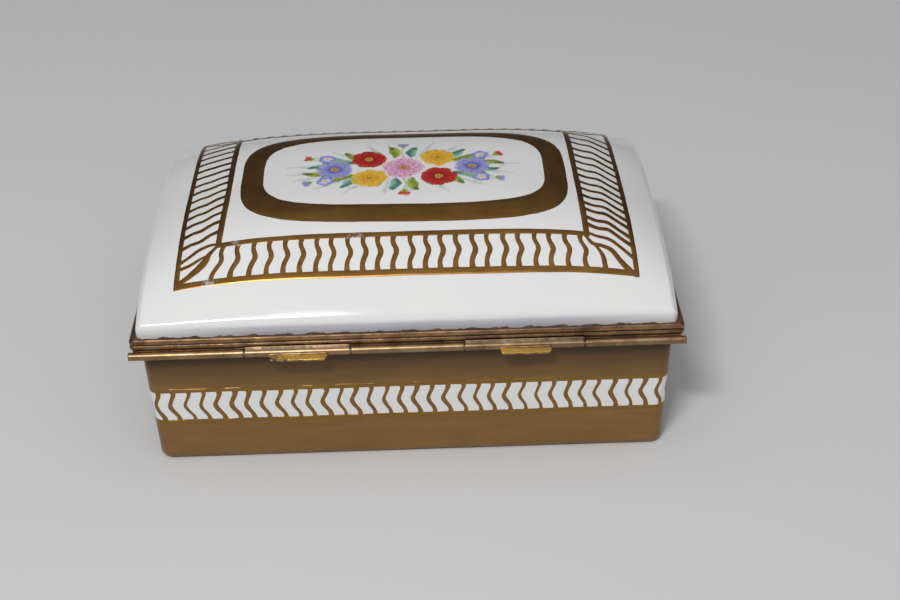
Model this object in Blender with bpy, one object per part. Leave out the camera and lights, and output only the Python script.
"""Porcelain trinket box with a hinged lid in reeded brass mounts.

X runs along the box, Y from the hinge side to the clasp side, Z up.
The origin is on the table, under the middle of the base tray.
Lengths in this file are in millimetres until a vertex is made.
"""
import bpy
import bmesh
import math
from mathutils import Vector

MM = 0.001

# Driving dimensions
HINGE_LENGTH = 165.6
FRAME_LENGTH = 165.2
FRAME_DEPTH = 120.0
FRAME_CORNER = 1.6
FRAME_MIN_CORNER = 0.6
GAP = 0.3

# Heights
BASE_SHOULDER_Z = 37.7
BASE_RIM_Z = 40.1
BASE_FRAME_BOTTOM_Z = 38.1
BASE_FRAME_TOP_Z = 41.4
LID_FRAME_BOTTOM_Z = 41.8
LID_FRAME_TOP_Z = 45.3
LID_RIM_Z = 42.9
LID_SHOULDER_Z = 48.8
LID_CROWN = 19.9
COLLAR_BOTTOM_Z = 37.4
COLLAR_TOP_Z = 43.4

# Base tray
TRAY_TOP = (79.7, 58.4)
TRAY_FOOT = (78.0, 58.0)
TRAY_CORNER = 3.6
TRAY_EDGE_RADIUS = 2.0
TRAY_FOOT_WIDTH = 7.0
TRAY_FOOT_HEIGHT = 0.8
TRAY_FLOOR_Z = 4.4
TRAY_INSIDE_TOP = (75.5, 54.8)
TRAY_INSIDE_FLOOR = (74.4, 53.7)
TRAY_INSIDE_RADIUS = 3.0
TRAY_RIM = (77.4, 56.9)

# Lid shell
LID_OUTSIDE = (80.7, 57.7)
LID_INSIDE = (77.5, 54.9)
LID_CORNER = 1.8
LID_INSIDE_CORNER = 1.6
LID_SIDE_ROUND = 1.2
LID_END_ROUND = 2.8
LID_EDGE_INSETS = (0.0, 0.2, 0.6, 1.3, LID_END_ROUND)
LID_INSIDE_SHOULDER_Z = 46.9
LID_INSIDE_CROWN = 18.6
CROWN_POWER_X = 4.0
CROWN_POWER_Y = 3.32
CROWN_END_DROP = 0.58
CROWN_SHARES = (0.97, 0.92, 0.85, 0.75, 0.6, 0.4, 0.2)
LID_SIDE_STEPS = (10, 8)

# Brass strips
LID_WALL = 0.8
BASE_FRAME_HALF = (82.1, 59.4)
BASE_WALL = 0.7
LEDGE_THICKNESS = 0.7
LID_LEDGE_INSIDE = (76.0, 55.2)
COLLAR_OUTSIDE = (75.1, 54.4)
COLLAR_THICKNESS = 0.6

# Hinge
AXIS_Y = -61.0
AXIS_Z = 40.7
KNUCKLE_RADIUS = 1.25
KNUCKLE_BORE = 0.8
PIN_RADIUS = 0.55
KNUCKLE_JOINTS = (-48.5, -17.0, 16.8, 52.6)
LEAF_HEIGHT = 1.9
LEAF_INSIDE = 0.7

# Stop tabs, which meet the base when the lid is fully open
TAB_CENTRES = (-32.6, 34.9)
TAB_ROOT_WIDTHS = (18.0, 15.6)
TAB_TIP_WIDTHS = (16.4, 14.6)
TAB_REACH = 4.0
TAB_THICKNESS = 0.8
TAB_TILT = math.radians(8.0)

# Clasp
THUMB_WIDTH = 13.0
THUMB_THICKNESS = 0.8
STUD_RADIUS = 1.25
STUD_Z = 39.7
STUD_RISE = 0.5

CORNER_STEPS = 4
ROUND_STEPS = 20
TINY = 1e-9


def clear_scene():
    for item in list(bpy.data.objects):
        bpy.data.objects.remove(item, do_unlink=True)


def make_material(name, colour, roughness, metallic):
    material = bpy.data.materials.new(name)
    material.use_nodes = True
    shader = material.node_tree.nodes["Principled BSDF"]
    shader.inputs["Base Color"].default_value = (*colour, 1.0)
    shader.inputs["Roughness"].default_value = roughness
    shader.inputs["Metallic"].default_value = metallic
    return material


def make_object(name, mesh_bm, material, smooth_angle=35.0, pivot=None):
    """Turn a bmesh in millimetres into a named object in metres."""
    bmesh.ops.recalc_face_normals(mesh_bm, faces=mesh_bm.faces)
    origin = Vector(pivot) if pivot else Vector((0.0, 0.0, 0.0))
    for vert in mesh_bm.verts:
        vert.co = (vert.co - origin) * MM
    mesh = bpy.data.meshes.new(name)
    mesh_bm.to_mesh(mesh)
    mesh_bm.free()
    mesh.shade_smooth()
    mesh.set_sharp_from_angle(angle=math.radians(smooth_angle))
    mesh.materials.append(material)
    item = bpy.data.objects.new(name, mesh)
    item.location = origin * MM
    bpy.context.scene.collection.objects.link(item)
    return item


def rounded_rectangle(half, corner, side_steps=(1, 1)):
    """Points round a rectangle with round corners, counter-clockwise."""
    half_x, half_y = half
    points = []
    centres = ((1, 1), (-1, 1), (-1, -1), (1, -1))
    for turn, (sign_x, sign_y) in enumerate(centres):
        cx = sign_x * (half_x - corner)
        cy = sign_y * (half_y - corner)
        for step in range(CORNER_STEPS + 1):
            angle = math.pi / 2 * (turn + step / CORNER_STEPS)
            points.append((cx + corner * math.cos(angle), cy + corner * math.sin(angle)))
        steps = side_steps[turn % 2]
        next_x, next_y = centres[(turn + 1) % 4]
        angle = math.pi / 2 * (turn + 1)
        end_x = next_x * (half_x - corner) + corner * math.cos(angle)
        end_y = next_y * (half_y - corner) + corner * math.sin(angle)
        start_x, start_y = points[-1]
        for step in range(1, steps):
            share = step / steps
            points.append((start_x + (end_x - start_x) * share,
                           start_y + (end_y - start_y) * share))
    return points


def add_loop(mesh_bm, points, height):
    """One loop of vertices; height is a number or a function of x and y."""
    if callable(height):
        return [mesh_bm.verts.new((x, y, height(x, y))) for x, y in points]
    return [mesh_bm.verts.new((x, y, height)) for x, y in points]


def bridge(mesh_bm, first, second):
    count = len(first)
    for index in range(count):
        after = (index + 1) % count
        mesh_bm.faces.new((first[index], first[after], second[after], second[index]))


def fan(mesh_bm, loop, centre):
    tip = mesh_bm.verts.new(centre)
    count = len(loop)
    for index in range(count):
        mesh_bm.faces.new((loop[index], loop[(index + 1) % count], tip))


def quarter_round(radius, steps):
    """Inset and rise along a quarter circle, from the flat to the upright."""
    result = []
    for step in range(steps + 1):
        angle = math.pi / 2 * step / steps
        result.append((radius * (1 - math.sin(angle)), radius * (1 - math.cos(angle))))
    return result


def grow(half, amount):
    return (half[0] + amount, half[1] + amount)


def ring(name, half, corner, outline, material):
    """A closed strip round the box. Outline holds (inset, height) or (half, height)."""
    mesh_bm = bmesh.new()
    loops = []
    for place, height in outline:
        size = place if isinstance(place, tuple) else grow(half, -place)
        inset = half[1] - size[1]
        radius = max(corner - inset, FRAME_MIN_CORNER)
        loops.append(add_loop(mesh_bm, rounded_rectangle(size, radius), height))
    for index, loop in enumerate(loops):
        bridge(mesh_bm, loop, loops[(index + 1) % len(loops)])
    return make_object(name, mesh_bm, material, 25.0)


def tray_half(height):
    """Outside half sizes of the tray, which widens a little from foot to rim."""
    share = height / BASE_SHOULDER_Z
    return tuple(foot + (top - foot) * share for foot, top in zip(TRAY_FOOT, TRAY_TOP))


def inside_half(height):
    share = (height - TRAY_FLOOR_Z) / (BASE_RIM_Z - TRAY_FLOOR_Z)
    return tuple(low + (top - low) * share for low, top in zip(TRAY_INSIDE_FLOOR, TRAY_INSIDE_TOP))


def base_porcelain(material):
    mesh_bm = bmesh.new()
    loops = []

    def station(half, corner, height):
        loops.append(add_loop(mesh_bm, rounded_rectangle(half, corner), height))

    foot_inside = grow(TRAY_FOOT, -TRAY_FOOT_WIDTH)
    station(grow(foot_inside, -TRAY_FOOT_HEIGHT), 2.0, TRAY_FOOT_HEIGHT)
    station(foot_inside, 2.6, 0.0)
    for inset, rise in quarter_round(TRAY_EDGE_RADIUS, 5):
        station(grow(tray_half(rise), -inset), TRAY_CORNER, rise)
    station(TRAY_TOP, TRAY_CORNER, BASE_SHOULDER_Z - 0.3)
    station(grow(TRAY_TOP, -0.3), TRAY_CORNER - 0.3, BASE_SHOULDER_Z)
    station(TRAY_RIM, 2.4, BASE_SHOULDER_Z)
    station(TRAY_RIM, 2.4, BASE_RIM_Z - 0.4)
    station(grow(TRAY_RIM, -0.4), 2.2, BASE_RIM_Z)
    station(grow(TRAY_INSIDE_TOP, 0.4), 2.0, BASE_RIM_Z)
    station(inside_half(BASE_RIM_Z - 0.4), 2.0, BASE_RIM_Z - 0.4)
    for inset, rise in reversed(quarter_round(TRAY_INSIDE_RADIUS, 4)):
        height = TRAY_FLOOR_Z + rise
        station(grow(inside_half(height), -inset), 2.0, height)
    for first, second in zip(loops, loops[1:]):
        bridge(mesh_bm, first, second)
    mesh_bm.faces.new(loops[0])
    mesh_bm.faces.new(loops[-1])
    return make_object("base_porcelain", mesh_bm, material)


def crown(half, height):
    """Height of a cushion that arches from side to side and drops partly at its ends."""
    def at(x, y):
        along = min(abs(x) / half[0], 1.0) ** CROWN_POWER_X
        across = min(abs(y) / half[1], 1.0) ** CROWN_POWER_Y
        return height * (1 - CROWN_END_DROP * along) * (1 - across)
    return at


def edge_drop(x, y, inset):
    """How far the rounded edge of the lid lies below the crown, at an inset from the wall."""
    toward_x = max(abs(x) - (LID_OUTSIDE[0] - LID_CORNER), 0.0)
    toward_y = max(abs(y) - (LID_OUTSIDE[1] - LID_CORNER), 0.0)
    facing_end = toward_x ** 2 / max(toward_x ** 2 + toward_y ** 2, TINY)
    radius = LID_SIDE_ROUND + (LID_END_ROUND - LID_SIDE_ROUND) * facing_end
    share = max(1 - inset / radius, 0.0)
    return radius * (1 - math.sqrt(1 - share ** 2))


def lid_porcelain(material):
    mesh_bm = bmesh.new()
    outer_crown = crown(LID_OUTSIDE, LID_CROWN)
    inner_crown = crown(LID_INSIDE, LID_INSIDE_CROWN)

    def outline(half, corner):
        return rounded_rectangle(half, corner, LID_SIDE_STEPS)

    outside = [add_loop(mesh_bm, outline(LID_OUTSIDE, LID_CORNER), LID_RIM_Z)]
    for inset in LID_EDGE_INSETS:
        corner = LID_CORNER - inset * 0.5
        height = lambda x, y: LID_SHOULDER_Z + outer_crown(x, y) - edge_drop(x, y, inset)
        outside.append(add_loop(mesh_bm, outline(grow(LID_OUTSIDE, -inset), corner), height))
    for share in CROWN_SHARES:
        half = tuple((size - LID_END_ROUND) * share for size in LID_OUTSIDE)
        height = lambda x, y: LID_SHOULDER_Z + outer_crown(x, y)
        outside.append(add_loop(mesh_bm, outline(half, LID_CORNER * share), height))
    for first, second in zip(outside, outside[1:]):
        bridge(mesh_bm, first, second)
    fan(mesh_bm, outside[-1], (0.0, 0.0, LID_SHOULDER_Z + LID_CROWN))

    inside = [add_loop(mesh_bm, outline(LID_INSIDE, LID_INSIDE_CORNER), LID_RIM_Z)]
    for share in (1.0, 0.985, *CROWN_SHARES):
        half = tuple(size * share for size in LID_INSIDE)
        height = lambda x, y: LID_INSIDE_SHOULDER_Z + inner_crown(x, y)
        inside.append(add_loop(mesh_bm, outline(half, LID_INSIDE_CORNER * share), height))
    for first, second in zip(inside, inside[1:]):
        bridge(mesh_bm, first, second)
    fan(mesh_bm, inside[-1], (0.0, 0.0, LID_INSIDE_SHOULDER_Z + LID_INSIDE_CROWN))
    bridge(mesh_bm, outside[0], inside[0])
    return make_object("lid_porcelain", mesh_bm, material)


def lid_frame(material):
    half = (FRAME_LENGTH / 2, FRAME_DEPTH / 2)
    middle = (LID_FRAME_BOTTOM_Z + LID_FRAME_TOP_Z) / 2
    low = LID_FRAME_BOTTOM_Z
    top = LID_FRAME_TOP_Z
    ledge_z = low + LEDGE_THICKNESS
    outline = [(0.3, low), (0.0, low + 0.4), (0.0, middle - 0.55), (0.2, middle - 0.2),
               (0.4, middle), (0.2, middle + 0.2), (0.0, middle + 0.55), (0.0, top - 0.4),
               (0.3, top), (LID_WALL, top), (LID_WALL, ledge_z),
               (LID_LEDGE_INSIDE, ledge_z), (LID_LEDGE_INSIDE, low)]
    return ring("lid_frame", half, FRAME_CORNER, outline, material)


def base_frame(material):
    low = BASE_FRAME_BOTTOM_Z
    top = BASE_FRAME_TOP_Z
    ledge_z = top - LEDGE_THICKNESS
    inside = grow(COLLAR_OUTSIDE, GAP)
    outline = [(0.2, low), (0.0, low + 0.3), (0.0, low + 1.2), (0.25, low + 1.45),
               (0.25, low + 1.65), (0.0, low + 1.9), (0.0, top - 0.35), (0.25, top),
               (inside, top), (inside, ledge_z), (BASE_WALL, ledge_z), (BASE_WALL, low)]
    return ring("base_frame", BASE_FRAME_HALF, FRAME_CORNER, outline, material)


def band(name, outside, inside, corner, low, top, material):
    outline = [(outside, low), (outside, top), (inside, top), (inside, low)]
    return ring(name, outside, corner, outline, material)


def lathe_x(mesh_bm, section, start, end, inner_radius):
    """A bored prism along X. Section gives (y, z) from the axis, by angle."""
    def loop(x, points):
        return [mesh_bm.verts.new((x, AXIS_Y + y, AXIS_Z + z)) for y, z in points]

    bore = [(inner_radius * y / math.hypot(y, z), inner_radius * z / math.hypot(y, z))
            for y, z in section]
    outer_a = loop(start, section)
    outer_b = loop(end, section)
    inner_a = loop(start, bore)
    inner_b = loop(end, bore)
    bridge(mesh_bm, outer_a, outer_b)
    bridge(mesh_bm, inner_a, inner_b)
    bridge(mesh_bm, outer_a, inner_a)
    bridge(mesh_bm, outer_b, inner_b)


def round_section(radius, start=0.0, end=2 * math.pi, steps=ROUND_STEPS):
    angles = [start + (end - start) * step / steps for step in range(steps)]
    return [(radius * math.cos(angle), radius * math.sin(angle)) for angle in angles]


def leaf_section():
    """A round knuckle with the leaf that rises from it to the lid's strip."""
    front_foot = math.radians(102.0)
    back_foot = math.acos(LEAF_INSIDE / KNUCKLE_RADIUS)
    turned = round_section(KNUCKLE_RADIUS, front_foot, 2 * math.pi + back_foot, ROUND_STEPS - 2)
    turned.append((LEAF_INSIDE, KNUCKLE_RADIUS * math.sin(back_foot)))
    turned.append((LEAF_INSIDE, LEAF_HEIGHT))
    turned.append((LEAF_INSIDE - 0.5, LEAF_HEIGHT))
    return turned


def knuckle(name, start, end, with_leaf, material):
    mesh_bm = bmesh.new()
    section = leaf_section() if with_leaf else round_section(KNUCKLE_RADIUS)
    lathe_x(mesh_bm, section, start, end, KNUCKLE_BORE)
    return make_object(name, mesh_bm, material, 40.0, ((start + end) / 2, AXIS_Y, AXIS_Z))


def hinge_knuckles(material):
    ends = (-HINGE_LENGTH / 2, *KNUCKLE_JOINTS, HINGE_LENGTH / 2)
    names = ("base_knuckle_left", "lid_knuckle_left", "base_knuckle_middle",
             "lid_knuckle_right", "base_knuckle_right")
    for index, name in enumerate(names):
        start = ends[index] + (GAP / 2 if index else 0.0)
        end = ends[index + 1] - (GAP / 2 if index < 4 else 0.0)
        knuckle(name, start, end, index % 2 == 1, material)


def hinge_pin(material):
    mesh_bm = bmesh.new()
    half = HINGE_LENGTH / 2 - 0.2
    section = round_section(PIN_RADIUS, steps=16)
    left = [mesh_bm.verts.new((-half, AXIS_Y + y, AXIS_Z + z)) for y, z in section]
    right = [mesh_bm.verts.new((half, AXIS_Y + y, AXIS_Z + z)) for y, z in section]
    bridge(mesh_bm, left, right)
    mesh_bm.faces.new(left)
    mesh_bm.faces.new(right)
    return make_object("hinge_pin", mesh_bm, material, 40.0, (0.0, AXIS_Y, AXIS_Z))


def stop_tab(name, centre, root_width, tip_width, material):
    """A thin plate that stands out from a lid knuckle, tilted a little down."""
    mesh_bm = bmesh.new()
    near = KNUCKLE_RADIUS + GAP
    out = Vector((0.0, -math.cos(TAB_TILT), -math.sin(TAB_TILT)))
    up = Vector((0.0, -math.sin(TAB_TILT), math.cos(TAB_TILT)))
    axis = Vector((centre, AXIS_Y, AXIS_Z))
    loops = []
    for reach, width in ((near, root_width), (TAB_REACH, tip_width)):
        loop = []
        for side, level in ((-1, -1), (1, -1), (1, 1), (-1, 1)):
            place = axis + out * reach + up * (level * TAB_THICKNESS / 2)
            place.x += side * width / 2
            loop.append(mesh_bm.verts.new(place))
        loops.append(loop)
    bridge(mesh_bm, loops[0], loops[1])
    mesh_bm.faces.new(loops[0])
    mesh_bm.faces.new(loops[1])
    item = make_object(name, mesh_bm, material, 30.0, (centre, AXIS_Y, AXIS_Z))
    bevel = item.modifiers.new("soft_edges", "BEVEL")
    bevel.width = 0.15 * MM
    bevel.segments = 2
    return item


def thumbpiece(material):
    """A bent strip on the lid's front that laps the base and curls out at its lip."""
    mesh_bm = bmesh.new()
    front = FRAME_DEPTH / 2
    centre_line = [(front + 0.7, 44.9), (front + 0.7, 43.2), (front + 0.85, 42.2),
                   (front + 1.3, 41.4), (front + 1.4, 40.2), (front + 1.45, 39.4),
                   (front + 1.85, 38.7), (front + 2.7, 38.25), (front + 3.7, 38.15),
                   (-AXIS_Y + TAB_REACH * math.cos(TAB_TILT), 38.5)]
    widths = [0.62, 0.8, 0.95, 1.0, 1.0, 1.0, 1.0, 0.97, 0.88, 0.66]
    loops = []
    count = len(centre_line)
    for index, (y, z) in enumerate(centre_line):
        before = Vector(centre_line[max(index - 1, 0)])
        after = Vector(centre_line[min(index + 1, count - 1)])
        along = (after - before).normalized()
        normal = Vector((along.y, -along.x)) * THUMB_THICKNESS / 2
        half = THUMB_WIDTH / 2 * widths[index]
        corners = ((-half, y + normal.x, z + normal.y), (half, y + normal.x, z + normal.y),
                   (half, y - normal.x, z - normal.y), (-half, y - normal.x, z - normal.y))
        loops.append([mesh_bm.verts.new(corner) for corner in corners])
    for first, second in zip(loops, loops[1:]):
        bridge(mesh_bm, first, second)
    mesh_bm.faces.new(loops[0])
    mesh_bm.faces.new(loops[-1])
    return make_object("lid_thumbpiece", mesh_bm, material, 40.0)


def catch_stud(material):
    """A low domed stud on the base's front strip, behind the thumbpiece."""
    mesh_bm = bmesh.new()
    back = BASE_FRAME_HALF[1] + GAP
    rows = ((1.0, 0.0), (1.0, 0.2), (0.8, 0.4), (0.45, STUD_RISE))
    loops = []
    for share, rise in rows:
        radius = STUD_RADIUS * share
        loops.append([mesh_bm.verts.new((x, back + rise, STUD_Z + z))
                      for x, z in round_section(radius, steps=16)])
    for first, second in zip(loops, loops[1:]):
        bridge(mesh_bm, first, second)
    mesh_bm.faces.new(loops[0])
    mesh_bm.faces.new(loops[-1])
    return make_object("base_catch_stud", mesh_bm, material, 40.0)


def build():
    clear_scene()
    white = make_material("white_porcelain", (0.86, 0.86, 0.84), 0.12, 0.0)
    gilt = make_material("gilt_porcelain", (0.42, 0.27, 0.1), 0.35, 0.6)
    brass = make_material("aged_brass", (0.47, 0.33, 0.16), 0.38, 1.0)
    steel = make_material("pin_steel", (0.3, 0.28, 0.25), 0.4, 1.0)
    plaster = make_material("bedding_cement", (0.2, 0.15, 0.11), 0.9, 0.0)

    base_porcelain(gilt)
    base_frame(brass)
    cement_out = grow(BASE_FRAME_HALF, -BASE_WALL - GAP)
    band("base_cement", cement_out, grow(TRAY_RIM, GAP + 0.1), 1.6,
         BASE_FRAME_BOTTOM_Z, BASE_RIM_Z, plaster)
    band("base_collar", COLLAR_OUTSIDE, grow(COLLAR_OUTSIDE, -COLLAR_THICKNESS), 1.8,
         COLLAR_BOTTOM_Z, COLLAR_TOP_Z, brass)

    lid_porcelain(white)
    lid_frame(brass)
    frame_half = (FRAME_LENGTH / 2, FRAME_DEPTH / 2)
    band("lid_cement", grow(frame_half, -LID_WALL - GAP), grow(LID_OUTSIDE, GAP), 1.8,
         LID_RIM_Z, LID_FRAME_TOP_Z - 0.4, plaster)

    hinge_knuckles(brass)
    hinge_pin(steel)
    sides = ("stop_tab_left", "stop_tab_right")
    for name, centre, root, tip in zip(sides, TAB_CENTRES, TAB_ROOT_WIDTHS, TAB_TIP_WIDTHS):
        stop_tab(name, centre, root, tip, brass)
    thumbpiece(brass)
    catch_stud(brass)


build()
